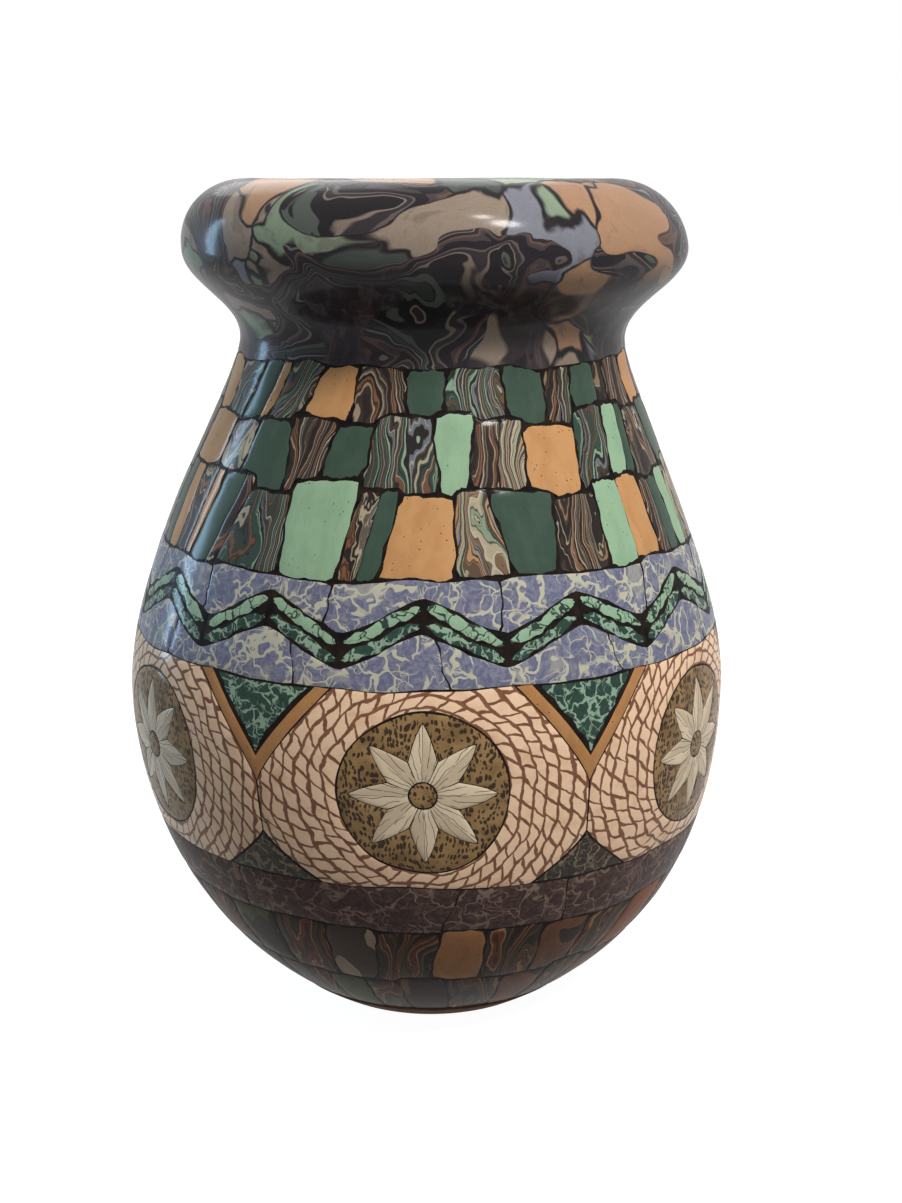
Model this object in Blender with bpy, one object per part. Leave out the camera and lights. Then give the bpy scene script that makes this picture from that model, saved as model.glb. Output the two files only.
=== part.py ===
"""A vase built up inside a mould from slices of coloured clay, as the separate pieces it is joined from.

From the foot up: a plain disc, two courses of hand-cut tiles, a veined band, a broad belly band that is
pierced for star roundels and spandrels, a second veined band with a pair of zigzag ribbons, three more
courses of tiles, a marbled collar and a thick rolled rim, with a poured glaze lining the inside.
Every slice runs through the whole wall, and its joints are square to the wall.
Metres, +Z up, origin in the middle of the face that it stands on, the front towards -Y.
"""

import functools
import math

import bmesh
import bpy
from mathutils import Matrix, Vector

# The outline: where it stands, swells, narrows and turns over
STANDING_RADIUS = 0.0217
BELLY_RADIUS = 0.0549
BELLY_HEIGHT = 0.0597
NECK_RADIUS = 0.0347
NECK_ABOVE_BELLY = 0.0626
LIP_OVERHANG = 0.0103
LIP_ABOVE_NECK = 0.0157
CREST_ABOVE_LIP = 0.0120
THROAT_ROLL_WIDTH = 0.0028
THROAT_ROLL_HEIGHT = 0.0055
WALL = 0.0050

# How far each stretch of the outline keeps to the direction of its ends
HEEL_SLOPE = math.radians(31)
HEEL_REACH = 0.0108
BELLY_REACH_DOWN = 0.0388
BELLY_REACH_UP = 0.0219
NECK_REACH_DOWN = 0.0072
NECK_REACH_UP = 0.0064
LIP_REACH_DOWN = 0.0064

# Heights of the courses, from the foot up; the shoulder courses share what is left below the collar
# by these parts, so that their tiles shorten towards the neck
BASE_HEIGHT = 0.0035
LOWER_TILE_COURSES = 2
LOWER_TILE_HEIGHT = 0.0121
LOWER_BAND_HEIGHT = 0.0090
UPPER_BAND_HEIGHT = 0.0165
SHOULDER_COURSE_PARTS = (5, 4, 3)
COLLAR_START_BELOW_NECK = 0.0022
COLLAR_HEIGHT = 0.0078

# The foot and the floor
FOOT_RING_WIDTH = 0.0055
FOOT_RECESS = 0.0010
FLOOR_HEIGHT = 0.0055
FLOOR_FILLET = 0.0040

# The seams of black slip between slices, and the grooves between the tiles of a course
SEAM = 0.0003
TILES = 30
GROOVE_WIDTH = 0.0007
GROOVE_DEPTH = 0.0008

# The belly's inlays
ROUNDELS = 6
ROUNDEL_RADIUS = 0.0140
ROUNDEL_MARGIN = 0.0032
STAR_RAYS = 8
STAR_RADIUS = 0.0122
STAR_WAIST_RADIUS = 0.0062
UPPER_SPANDREL_HALF_WIDTH = 0.0130
UPPER_SPANDREL_DEPTH = 0.0170
LOWER_SPANDREL_HALF_WIDTH = 0.0095
LOWER_SPANDREL_DEPTH = 0.0085
SPANDREL_BORDER = 0.0022
SPANDREL_HOLLOWNESS = 1.2

# The pair of zigzag ribbons
TEETH = 12
RIBBON_HEIGHT = 0.0026
ZIGZAG_RISE = 0.0030

# The poured glaze
GLAZE = 0.0008

# Fineness of the round forms
SEGMENTS = 8 * ROUNDELS
GLAZE_SEGMENTS = SEGMENTS // 2
ROUNDEL_SIDES = 24
SPANDREL_STEPS = 4
BISECTIONS = 40

# Heights and radii that follow from the outline
NECK_HEIGHT = BELLY_HEIGHT + NECK_ABOVE_BELLY
LIP_HEIGHT = NECK_HEIGHT + LIP_ABOVE_NECK
TOTAL_HEIGHT = LIP_HEIGHT + CREST_ABOVE_LIP
THROAT_TOP = TOTAL_HEIGHT - THROAT_ROLL_HEIGHT
THROAT_RADIUS = NECK_RADIUS - WALL
CREST_RADIUS = THROAT_RADIUS + THROAT_ROLL_WIDTH
LIP_RADIUS = NECK_RADIUS + LIP_OVERHANG

# Heights that follow from the courses
BELLY_BAND_HEIGHT = 2 * (ROUNDEL_RADIUS + ROUNDEL_MARGIN)
LOWER_EDGES = [BASE_HEIGHT + LOWER_TILE_HEIGHT * course for course in range(LOWER_TILE_COURSES + 1)]
LOWER_BAND_START = LOWER_EDGES[-1]
BELLY_BAND_START = LOWER_BAND_START + LOWER_BAND_HEIGHT
UPPER_BAND_START = BELLY_BAND_START + BELLY_BAND_HEIGHT
SHOULDER_START = UPPER_BAND_START + UPPER_BAND_HEIGHT
COLLAR_START = NECK_HEIGHT - COLLAR_START_BELOW_NECK
RIM_START = COLLAR_START + COLLAR_HEIGHT
SHOULDER_PART = (COLLAR_START - SHOULDER_START) / sum(SHOULDER_COURSE_PARTS)
SHOULDER_EDGES = [
    SHOULDER_START + SHOULDER_PART * sum(SHOULDER_COURSE_PARTS[:course])
    for course in range(len(SHOULDER_COURSE_PARTS) + 1)
]
ROUNDEL_HEIGHT = BELLY_BAND_START + BELLY_BAND_HEIGHT / 2
RIBBON_MIDDLE = UPPER_BAND_START + UPPER_BAND_HEIGHT / 2


def bezier(start, start_control, end_control, end, share):
    """The point of a cubic curve at a share of its way, and its direction there."""
    rest = 1 - share
    point = (
        start * rest**3
        + start_control * 3 * rest**2 * share
        + end_control * 3 * rest * share**2
        + end * share**3
    )
    direction = (
        (start_control - start) * rest**2
        + (end_control - start_control) * 2 * rest * share
        + (end - end_control) * share**2
    )
    return point, direction


@functools.cache
def outline_curves():
    """The outside from the standing edge to the lip, as cubic curves of (radius, height)."""
    heel = Vector((STANDING_RADIUS, 0))
    belly = Vector((BELLY_RADIUS, BELLY_HEIGHT))
    neck = Vector((NECK_RADIUS, NECK_HEIGHT))
    lip = Vector((LIP_RADIUS, LIP_HEIGHT))
    heel_way = Vector((math.cos(HEEL_SLOPE), math.sin(HEEL_SLOPE)))
    up = Vector((0, 1))
    return (
        (heel, heel + heel_way * HEEL_REACH, belly - up * BELLY_REACH_DOWN, belly),
        (belly, belly + up * BELLY_REACH_UP, neck - up * NECK_REACH_DOWN, neck),
        (neck, neck + up * NECK_REACH_UP, lip - up * LIP_REACH_DOWN, lip),
    )


@functools.cache
def outside(height):
    """The outside's (radius, height) point at a height below the lip, and the way out of the wall."""
    curves = outline_curves()
    curve = next((curve for curve in curves if height <= curve[-1].y), curves[-1])
    low, high = 0.0, 1.0
    for _ in range(BISECTIONS):
        share = (low + high) / 2
        if bezier(*curve, share)[0].y < height:
            low = share
        else:
            high = share
    point, direction = bezier(*curve, share)
    return point, Vector((direction.y, -direction.x)).normalized()


def within(height, depth):
    """The point this deep in the wall: square to the outside up to the neck, level above it."""
    if height >= NECK_HEIGHT:
        return Vector((NECK_RADIUS - depth, height))
    point, out = outside(height)
    return point - out * depth


def spread(first, last, count):
    """Evenly spaced values from the first to the last."""
    return [first + (last - first) * step / (count - 1) for step in range(count)]


def quarter(centre, across, rise, start_angle, steps):
    """Points of a quarter of an ellipse about a centre, without the one it starts from."""
    turns = [start_angle + math.pi / 2 * step / steps for step in range(1, steps + 1)]
    return [centre + Vector((across * math.cos(turn), rise * math.sin(turn))) for turn in turns]


def even_stations(count, offset=0.0):
    """Angles about the axis where a section is drawn, none of them recessed."""
    return [(math.tau * (step + offset) / count, 0.0) for step in range(count)]


def tile_stations(middle_height, offset):
    """Angles of a course of tiles: a groove of slip, its two edges and the middle of each tile."""
    half_groove = GROOVE_WIDTH / 2 / outside(middle_height)[0].x
    stations = []
    for tile in range(TILES):
        groove = math.tau * (tile + offset) / TILES
        stations += [(groove - half_groove, 0.0), (groove, GROOVE_DEPTH), (groove + half_groove, 0.0)]
        stations += [(groove + math.pi / TILES, 0.0)]
    return stations


def clay(name, colour, roughness):
    """A fired clay or glaze as a Principled material."""
    material = bpy.data.materials.new(name)
    material.use_nodes = True
    shader = material.node_tree.nodes["Principled BSDF"]
    shader.inputs["Base Color"].default_value = (*colour, 1)
    shader.inputs["Roughness"].default_value = roughness
    shader.inputs["Metallic"].default_value = 0.0
    material.diffuse_color = (*colour, 1)
    return material


def placed(name, mesh, material):
    """An object in the scene from a finished mesh, shaded smooth up to its edges."""
    mesh.materials.clear()
    mesh.materials.append(material)
    mesh.shade_smooth()
    mesh.set_sharp_from_angle(angle=math.radians(35))
    piece = bpy.data.objects.new(name, mesh)
    bpy.context.collection.objects.link(piece)
    return piece


def turned(name, stations, section_at, material):
    """A ring round the axis, or a solid one where its section starts and ends on the axis."""
    shape = bmesh.new()
    poles = {}
    loops = []
    for angle, recess in stations:
        loop = []
        for spot, point in enumerate(section_at(angle, recess)):
            corner = (point.x * math.cos(angle), point.x * math.sin(angle), point.y)
            if point.x == 0:
                poles[spot] = poles.get(spot) or shape.verts.new(corner)
            loop.append(poles.get(spot) or shape.verts.new(corner))
        loops.append(loop)
    for loop, after in zip(loops, loops[1:] + loops[:1]):
        for spot in range(len(loop)):
            corners = dict.fromkeys((loop[spot - 1], loop[spot], after[spot], after[spot - 1]))
            if len(corners) > 2:
                shape.faces.new(corners)
    bmesh.ops.recalc_face_normals(shape, faces=shape.faces)
    mesh = bpy.data.meshes.new(name)
    shape.to_mesh(mesh)
    shape.free()
    return placed(name, mesh, material)


def wall_course(name, bottom, top, material, outer_rows=2, inner_rows=2, stations=None):
    """A ring of the wall between two heights, each of them a function of the angle."""

    def section_at(angle, recess):
        low = bottom(angle) + SEAM / 2
        high = top(angle) - SEAM / 2
        outer = [within(height, recess) for height in spread(low, high, outer_rows)]
        inner = [within(height, WALL) for height in spread(high, low, inner_rows)]
        return outer + inner

    return turned(name, stations or even_stations(SEGMENTS), section_at, material)


def level(height):
    """A course's edge that stays at one height all round."""
    return lambda angle: height


def zigzag(height):
    """A course's edge that rises and falls about a height, a straight line from tip to tip."""

    def edge(angle):
        share = angle * TEETH / math.tau % 1
        return height + ZIGZAG_RISE * (4 * abs(share - 0.5) - 1)

    return edge


def base_disc(material):
    """The disc that it stands on: a flat ring outside, a shallow recess within it, and the floor."""
    joint = BASE_HEIGHT - SEAM / 2
    recess_radius = STANDING_RADIUS - FOOT_RING_WIDTH
    section = [
        Vector((0, FOOT_RECESS)),
        Vector((recess_radius - FOOT_RECESS, FOOT_RECESS)),
        Vector((recess_radius, 0)),
        Vector((STANDING_RADIUS, 0)),
        outside(joint / 2)[0],
        outside(joint)[0],
        within(joint, WALL),
        Vector((within(joint, WALL).x - FLOOR_FILLET, FLOOR_HEIGHT)),
        Vector((0, FLOOR_HEIGHT)),
    ]
    turned("base_disc", even_stations(SEGMENTS), lambda angle, recess: section, material)


def neck_collar(material):
    """The ring that turns the wall from the shoulder out towards the rim."""
    low, high = COLLAR_START + SEAM / 2, RIM_START - SEAM / 2
    section = [outside(height)[0] for height in spread(low, high, 4)]
    section += [within(high, WALL), within(NECK_HEIGHT, WALL), within(low, WALL)]
    turned("neck_collar", even_stations(SEGMENTS), lambda angle, recess: section, material)


def rim_roll(material):
    """The thick rim: out under the lip, over the crest and down into the throat."""
    low = RIM_START + SEAM / 2
    section = [outside(height)[0] for height in spread(low, LIP_HEIGHT, 4)]
    over_lip = Vector((CREST_RADIUS, LIP_HEIGHT))
    section += quarter(over_lip, LIP_RADIUS - CREST_RADIUS, TOTAL_HEIGHT - LIP_HEIGHT, 0, 5)
    over_throat = Vector((CREST_RADIUS, THROAT_TOP))
    section += quarter(over_throat, THROAT_ROLL_WIDTH, THROAT_ROLL_HEIGHT, math.pi / 2, 3)
    section += [Vector((THROAT_RADIUS, low))]
    turned("rim_roll", even_stations(SEGMENTS), lambda angle, recess: section, material)


def body_glaze(material):
    """The poured glaze over the floor and up the wall to the collar, as a thin cup."""
    joint = BASE_HEIGHT - SEAM / 2
    fillet_radius = within(joint, WALL).x - FLOOR_FILLET
    edges = [*LOWER_EDGES, BELLY_BAND_START, ROUNDEL_HEIGHT, UPPER_BAND_START]
    edges += [*SHOULDER_EDGES[:-1], COLLAR_START - SEAM / 2]

    def skin(clearance):
        floor = [Vector((0, FLOOR_HEIGHT + clearance)), Vector((fillet_radius, FLOOR_HEIGHT + clearance))]
        return floor + [within(height, WALL + clearance) for height in edges]

    section = skin(SEAM) + skin(SEAM + GLAZE)[::-1]
    turned("body_glaze", even_stations(GLAZE_SEGMENTS), lambda angle, recess: section, material)


def throat_glaze(material):
    """The glaze of the throat, from the collar up to the roll of the rim."""
    heights = (COLLAR_START + SEAM / 2, NECK_HEIGHT, THROAT_TOP)
    section = [within(height, WALL + SEAM) for height in heights]
    section += [within(height, WALL + SEAM + GLAZE) for height in reversed(heights)]
    turned("throat_glaze", even_stations(GLAZE_SEGMENTS), lambda angle, recess: section, material)


def circle(radius):
    """The outline of a roundel, as (across, height) points seen from the front."""
    turns = [math.tau * side / ROUNDEL_SIDES for side in range(ROUNDEL_SIDES)]
    return [Vector((radius * math.cos(turn), ROUNDEL_HEIGHT + radius * math.sin(turn))) for turn in turns]


def star():
    """The outline of the star with its rays, one of them upright."""
    points = []
    for corner in range(2 * STAR_RAYS):
        radius = STAR_WAIST_RADIUS if corner % 2 else STAR_RADIUS
        turn = math.pi / 2 + math.pi * corner / STAR_RAYS
        points.append(Vector((radius * math.cos(turn), ROUNDEL_HEIGHT + radius * math.sin(turn))))
    return points


def spandrel(edge, half_width, depth):
    """A triangle with hollow sides on an edge of the band; a negative depth points it downwards."""
    side = []
    for share in spread(0, 1, SPANDREL_STEPS + 1):
        side.append(Vector((half_width * (1 - share) ** SPANDREL_HOLLOWNESS, edge + depth * share)))
    overrun = math.copysign(WALL, depth)
    right = [Vector((half_width, edge - overrun))] + side
    left = [Vector((-point.x, point.y)) for point in right[-2::-1]]
    outline = right + left
    return outline if depth > 0 else outline[::-1]


def inset(outline, distance):
    """The same outline drawn in by a distance, with its corners kept."""
    drawn_in = []
    for before, corner, after in zip(outline[-1:] + outline[:-1], outline, outline[1:] + outline[:1]):
        along = (corner - before).normalized()
        onward = (after - corner).normalized()
        inward = Vector((-along.y, along.x))
        bisector = (inward + Vector((-onward.y, onward.x))).normalized()
        drawn_in.append(corner + bisector * (distance / bisector.dot(inward)))
    return drawn_in


def through_wall(name, outline, turns):
    """A guide that shapes inlays: the outline drawn straight through the front wall, at each turn."""
    near, far = -BELLY_RADIUS - WALL, -BELLY_RADIUS + 5 * WALL
    shape = bmesh.new()
    for turn in turns:
        about = Matrix.Rotation(turn, 3, "Z")
        front = shape.faces.new([shape.verts.new(about @ Vector((p.x, near, p.y))) for p in outline])
        back = bmesh.ops.extrude_face_region(shape, geom=[front], use_keep_orig=True)
        moved = [item for item in back["geom"] if isinstance(item, bmesh.types.BMVert)]
        bmesh.ops.translate(shape, verts=moved, vec=about @ Vector((0, far - near, 0)))
    bmesh.ops.recalc_face_normals(shape, faces=shape.faces)
    mesh = bpy.data.meshes.new(name)
    shape.to_mesh(mesh)
    shape.free()
    guide = bpy.data.objects.new(name, mesh)
    bpy.context.collection.objects.link(guide)
    guide.hide_render = True
    guide.display_type = "WIRE"
    return guide


def shaped(piece, guide, operation):
    """Cut a piece with a guide, or keep only what lies inside the guide."""
    step = piece.modifiers.new(guide.name, "BOOLEAN")
    step.object = guide
    step.operation = operation
    step.solver = "EXACT"


def belly_blank(name, material):
    """The whole belly band before anything is cut, its edges clear of the inlays' corners."""
    start, end = level(BELLY_BAND_START), level(UPPER_BAND_START)
    stations = even_stations(SEGMENTS, offset=0.5)
    return wall_course(name, start, end, material, outer_rows=6, inner_rows=4, stations=stations)


def inlays(name, material, keep, cut, offset):
    """Copies of one inlay round the belly, each the wall inside one outline and outside another."""
    blank = belly_blank(name + "_blank", material)
    shaped(blank, through_wall(name + "_outline", keep, [0]), "INTERSECT")
    if cut:
        shaped(blank, through_wall(name + "_opening", cut, [0]), "DIFFERENCE")
    evaluated = blank.evaluated_get(bpy.context.evaluated_depsgraph_get())
    mesh = bpy.data.meshes.new_from_object(evaluated)
    mesh.name = name
    for number in range(ROUNDELS):
        copy = placed(f"{name}_{number + 1}", mesh, material)
        copy.rotation_euler.z = math.tau * (number + offset) / ROUNDELS
    bpy.data.objects.remove(blank)


def belly(cream, ochre, ivory, orange, green, umber):
    """The belly band with its roundels, stars and spandrels, which fill its openings seam by seam."""
    upper = spandrel(UPPER_BAND_START, UPPER_SPANDREL_HALF_WIDTH, -UPPER_SPANDREL_DEPTH)
    lower = spandrel(BELLY_BAND_START, LOWER_SPANDREL_HALF_WIDTH, LOWER_SPANDREL_DEPTH)
    opposite = [math.tau * number / ROUNDELS for number in range(ROUNDELS)]
    between = [turn + math.pi / ROUNDELS for turn in opposite]
    band = belly_blank("belly_band", cream)
    shaped(band, through_wall("roundel_seats", circle(ROUNDEL_RADIUS), opposite), "DIFFERENCE")
    shaped(band, through_wall("upper_notches", upper, between), "DIFFERENCE")
    shaped(band, through_wall("lower_notches", lower, between), "DIFFERENCE")

    inlays("roundel_ground", ochre, circle(ROUNDEL_RADIUS - SEAM), star(), 0)
    inlays("roundel_star", ivory, inset(star(), SEAM), None, 0)
    inlays("spandrel_border", orange, inset(upper, SEAM), inset(upper, SPANDREL_BORDER), 0.5)
    inlays("spandrel_heart", green, inset(upper, SPANDREL_BORDER + SEAM), None, 0.5)
    inlays("lower_spandrel", umber, inset(lower, SEAM), None, 0.5)


def tile_courses(name, edges, material):
    """Courses of upright tiles laid in brick bond, keyed together by slip in the grooves."""
    for number, (bottom, top) in enumerate(zip(edges, edges[1:])):
        stations = tile_stations((bottom + top) / 2, number % 2 / 2)
        course = f"{name}_{number + 1}"
        wall_course(course, level(bottom), level(top), material, outer_rows=3, stations=stations)


def veined_bands(periwinkle, deep_green, mint):
    """The band under the belly, and the one above it that the two zigzag ribbons run through."""
    low, high = level(LOWER_BAND_START), level(BELLY_BAND_START)
    wall_course("lower_veined_band", low, high, periwinkle)
    start, end = level(UPPER_BAND_START), level(SHOULDER_START)
    lowest = zigzag(RIBBON_MIDDLE - RIBBON_HEIGHT)
    middle = zigzag(RIBBON_MIDDLE)
    highest = zigzag(RIBBON_MIDDLE + RIBBON_HEIGHT)
    stations = even_stations(4 * TEETH)
    wall_course("veined_band_below_ribbons", start, lowest, periwinkle, stations=stations)
    wall_course("zigzag_ribbon_dark", lowest, middle, deep_green, stations=stations)
    wall_course("zigzag_ribbon_mint", middle, highest, mint, stations=stations)
    wall_course("veined_band_above_ribbons", highest, end, periwinkle, stations=stations)


def build():
    """Clear the scene and build the vase from the foot up."""
    for item in list(bpy.data.objects):
        bpy.data.objects.remove(item)
    periwinkle = clay("periwinkle_clay", (0.22, 0.23, 0.37), 0.25)
    deep_green = clay("deep_green_clay", (0.03, 0.07, 0.055), 0.25)
    mint = clay("mint_clay", (0.24, 0.47, 0.29), 0.25)
    umber = clay("umber_clay", (0.07, 0.04, 0.02), 0.25)
    marbled = clay("marbled_clay", (0.12, 0.10, 0.09), 0.2)
    lining = clay("ivory_glaze", (0.56, 0.48, 0.34), 0.15)

    base_disc(clay("bare_clay", (0.45, 0.27, 0.17), 0.8))
    tile_courses("lower_tile_course", LOWER_EDGES, clay("rust_clay", (0.20, 0.07, 0.03), 0.3))
    veined_bands(periwinkle, deep_green, mint)
    belly(
        cream=clay("cream_clay", (0.62, 0.44, 0.32), 0.3),
        ochre=clay("ochre_clay", (0.16, 0.09, 0.03), 0.35),
        ivory=clay("ivory_clay", (0.60, 0.54, 0.42), 0.3),
        orange=clay("orange_clay", (0.50, 0.24, 0.09), 0.3),
        green=deep_green,
        umber=umber,
    )
    tile_courses("shoulder_tile_course", SHOULDER_EDGES, mint)
    neck_collar(marbled)
    rim_roll(marbled)
    body_glaze(lining)
    throat_glaze(lining)


build()
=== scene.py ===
"""A bulbous vase joined from slices of coloured clay, put together from the foot up.

Sizes are in millimetres here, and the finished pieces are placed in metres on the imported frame.
"""

import math
import random

import bmesh
import bpy
import numpy as np
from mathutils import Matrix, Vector


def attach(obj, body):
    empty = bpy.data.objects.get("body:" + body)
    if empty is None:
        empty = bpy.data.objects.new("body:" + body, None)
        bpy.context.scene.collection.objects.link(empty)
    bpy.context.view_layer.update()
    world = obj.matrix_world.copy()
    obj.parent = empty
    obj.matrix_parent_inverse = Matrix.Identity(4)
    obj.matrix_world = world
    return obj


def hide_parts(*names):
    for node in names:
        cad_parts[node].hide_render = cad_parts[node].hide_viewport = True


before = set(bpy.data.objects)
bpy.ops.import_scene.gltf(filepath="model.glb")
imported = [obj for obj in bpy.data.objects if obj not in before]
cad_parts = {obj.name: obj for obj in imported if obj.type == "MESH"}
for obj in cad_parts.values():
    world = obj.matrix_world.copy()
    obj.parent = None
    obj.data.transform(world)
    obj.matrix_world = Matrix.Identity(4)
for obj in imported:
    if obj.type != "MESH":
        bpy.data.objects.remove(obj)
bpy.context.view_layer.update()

# The base disc: a plain disc of brown clay that was pressed into the bottom of the mould first.
# Its ring is wiped clean of glaze, so that the vase does not stick to the kiln shelf, and stays matt.
STANDING_RADIUS, FOOT_RING, FOOT_RECESS = 21.7, 5.5, 1.0
BASE_HEIGHT, FLOOR_HEIGHT, WALL = 3.5, 5.5, 5.0
BELLY_RADIUS, BELLY_HEIGHT = 54.9, 59.7
NECK_RADIUS, NECK_HEIGHT = 34.7, 122.3
LIP_RADIUS, LIP_HEIGHT = 45.0, 138.0
TOTAL_HEIGHT = 150.0
HEEL_SLOPE, HEEL_REACH = math.radians(31), 10.8
BELLY_REACH_DOWN, BELLY_REACH_UP, NECK_REACH_DOWN, LIP_REACH = 38.8, 21.9, 7.2, 6.4
CURVE_STEPS, DISC_STEPS = 240, 192
SAG_HEIGHTS = (0, 22, 42, 54, 68, 95, 118, 132, LIP_HEIGHT, TOTAL_HEIGHT)
SAG_TO_RIGHT = (0.8, 1.0, 0.35, 0.0, 0.0, 0.25, 0.9, 1.7, 1.7, 0.8)
MM_PER_METRE, SAME_PLACE_DIGITS = 1000, 4
SOFTENED_ANGLE = math.radians(42)
GLOSS, GLAZE_ROUGHNESS, GLAZE_IOR = 0.2, 0.14, 1.45
SHEEN_UNDER_GLAZE, SHEEN_OF_BARE_CLAY = 0.02, 0.25
TOOL_MARKS = 0.00006


def bend(start, leave, arrive, end):
    """A stretch of the outline: points of (radius, height) on a cubic curve."""
    share = np.linspace(0, 1, CURVE_STEPS)[:, None]
    rest = 1 - share
    ends = rest**3 * np.array(start) + share**3 * np.array(end)
    return ends + 3 * rest * share * (rest * np.array(leave) + share * np.array(arrive))


heel = (STANDING_RADIUS + HEEL_REACH * math.cos(HEEL_SLOPE), HEEL_REACH * math.sin(HEEL_SLOPE))
belly, neck, lip = (BELLY_RADIUS, BELLY_HEIGHT), (NECK_RADIUS, NECK_HEIGHT), (LIP_RADIUS, LIP_HEIGHT)
outline = np.concatenate((
    bend((STANDING_RADIUS, 0), heel, (BELLY_RADIUS, BELLY_HEIGHT - BELLY_REACH_DOWN), belly),
    bend(belly, (BELLY_RADIUS, BELLY_HEIGHT + BELLY_REACH_UP),
         (NECK_RADIUS, NECK_HEIGHT - NECK_REACH_DOWN), neck)[1:],
    bend(neck, (NECK_RADIUS, NECK_HEIGHT + LIP_REACH), (LIP_RADIUS, LIP_HEIGHT - LIP_REACH), lip)[1:],
))


def square_to(line):
    """The direction square to a line at each of its points, to the right of its way."""
    way = np.gradient(line, axis=0)
    return np.stack((way[:, 1], -way[:, 0]), axis=1) / np.linalg.norm(way, axis=1)[:, None]


def points_at(line, marks, spots):
    """A line's points at the given spots, where marks says how far along each of its own points is."""
    return np.stack([np.interp(spots, marks, line[:, part]) for part in (0, 1)], axis=-1)


def radius_at(height):
    """How far the outside is from the axis at a height below the lip."""
    return np.interp(height, outline[:, 1], outline[:, 0])


def wall_line(heights):
    """The outside's points of (radius, height) at the given heights."""
    return np.stack((radius_at(heights), heights), axis=-1)


def square_out(height):
    """The direction square out of the wall at a height, as (radius, height)."""
    return points_at(square_to(outline), outline[:, 1], height)


def round_axis(angle, radius, height):
    """The places at these angles, radii and heights."""
    return np.stack((radius * np.cos(angle), radius * np.sin(angle), height), axis=-1)


def hand_wobble(angle, height):
    """How far the hand that smoothed the wall went below the true outline, 0.12 to 0.38 mm."""
    slow = np.sin(3 * angle + height / 11) + np.sin(5 * angle - height / 7 + 2)
    quick = np.sin(11 * angle + height / 5 + 1) * np.sin(height / 3.1 + 4 * angle)
    return 0.12 + 0.05 * (2 + slow) + 0.03 * (1 + quick)


def settled(points):
    """The same points after the wet vase sagged: its neck and rim stand up to 1.7 mm right of its belly."""
    points = points.copy()
    points[..., 0] += np.interp(points[..., 2], SAG_HEIGHTS, SAG_TO_RIGHT)
    return points


def in_wall(angle, height, depth):
    """Points at a depth below the outside, square to it, and level with it above the neck."""
    out = square_out(height)
    deep = (height > NECK_HEIGHT) & (depth > 1)
    radius = np.where(deep, NECK_RADIUS - depth, radius_at(height) - out[..., 0] * depth)
    return round_axis(angle, radius, np.where(deep, height, height - out[..., 1] * depth))


def joined_grid(points, clays, lay):
    """The faces from each closed ring of points to the next, as (points, faces, clay of each, lay)."""
    flat = points.reshape(-1, 3)
    rounded = np.round(flat, SAME_PLACE_DIGITS)
    _, first, merged = np.unique(rounded, axis=0, return_index=True, return_inverse=True)
    here = merged.reshape(points.shape[:2])
    beyond = np.roll(here, -1, axis=0)
    corners = np.stack((here, beyond, np.roll(beyond, -1, axis=1), np.roll(here, -1, axis=1)), axis=-1)
    faces, kinds = [], []
    for face, kind in zip(corners[: len(clays)].reshape(-1, 4).tolist(), clays.ravel().tolist()):
        face = list(dict.fromkeys(face))
        if len(face) > 2:
            faces.append(face)
            kinds.append(kind)
    return flat[first], faces, kinds, lay.reshape(-1, 3)[first]


def turned(angles, sections, kind):
    """A body of revolution from a closed section of (radius, height), or from one for each angle."""
    sections = np.broadcast_to(sections, (len(angles), *sections.shape[-2:]))
    points = round_axis(angles[:, None], sections[..., 0], sections[..., 1])
    return joined_grid(points, np.full(points.shape[:2], kind), points)


def placed(name, data):
    """A new object in the scene."""
    thing = bpy.data.objects.new(name, data)
    bpy.context.collection.objects.link(thing)
    return thing


def fired(node, solids, clays):
    """One piece of the vase from its solids; it takes the place of a node of the frame."""
    points, faces, kinds, lays = [], [], [], []
    for solid_points, solid_faces, solid_kinds, solid_lay in solids:
        start = sum(len(part) for part in points)
        points.append(solid_points)
        lays.append(solid_lay)
        faces += [[start + corner for corner in face] for face in solid_faces]
        kinds += solid_kinds
    mesh = bpy.data.meshes.new("fired_" + node)
    mesh.from_pydata(settled(np.concatenate(points)) / MM_PER_METRE, [], faces)
    for clay in clays:
        mesh.materials.append(clay.material)
    mesh.polygons.foreach_set("material_index", kinds)
    lay = mesh.attributes.new("lay", "FLOAT_VECTOR", "POINT")
    lay.data.foreach_set("vector", np.concatenate(lays).ravel())
    shape = bmesh.new()
    shape.from_mesh(mesh)
    bmesh.ops.recalc_face_normals(shape, faces=shape.faces)
    shape.to_mesh(mesh)
    shape.free()
    mesh.shade_smooth()
    mesh.set_sharp_from_angle(angle=SOFTENED_ANGLE)
    piece = placed("fired_" + node, mesh)
    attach(piece, "root")
    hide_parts(node)


def both_ways(operation):
    """An operator on a flow, and its reflected form."""
    return (lambda flow, other: flow.joined(operation, flow, other),
            lambda flow, other: flow.joined(operation, other, flow))


class Flow:
    """What flows out of a socket, so that a clay's recipe reads as sums."""

    def __init__(self, clay, socket):
        self.clay, self.socket = clay, socket

    def joined(self, operation, first, second):
        """A sum of two numbers, or of two vectors or colours where either is one."""
        many = any(isinstance(value, tuple) or isinstance(value, Flow) and value.socket.type != "VALUE"
                   for value in (first, second))
        kind = "ShaderNodeVectorMath" if many else "ShaderNodeMath"
        return self.clay.add(kind, {"operation": operation}, {0: first, 1: second})

    __add__, __radd__ = both_ways("ADD")
    __sub__, __rsub__ = both_ways("SUBTRACT")
    __mul__, __rmul__ = both_ways("MULTIPLY")
    __truediv__, __rtruediv__ = both_ways("DIVIDE")


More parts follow.
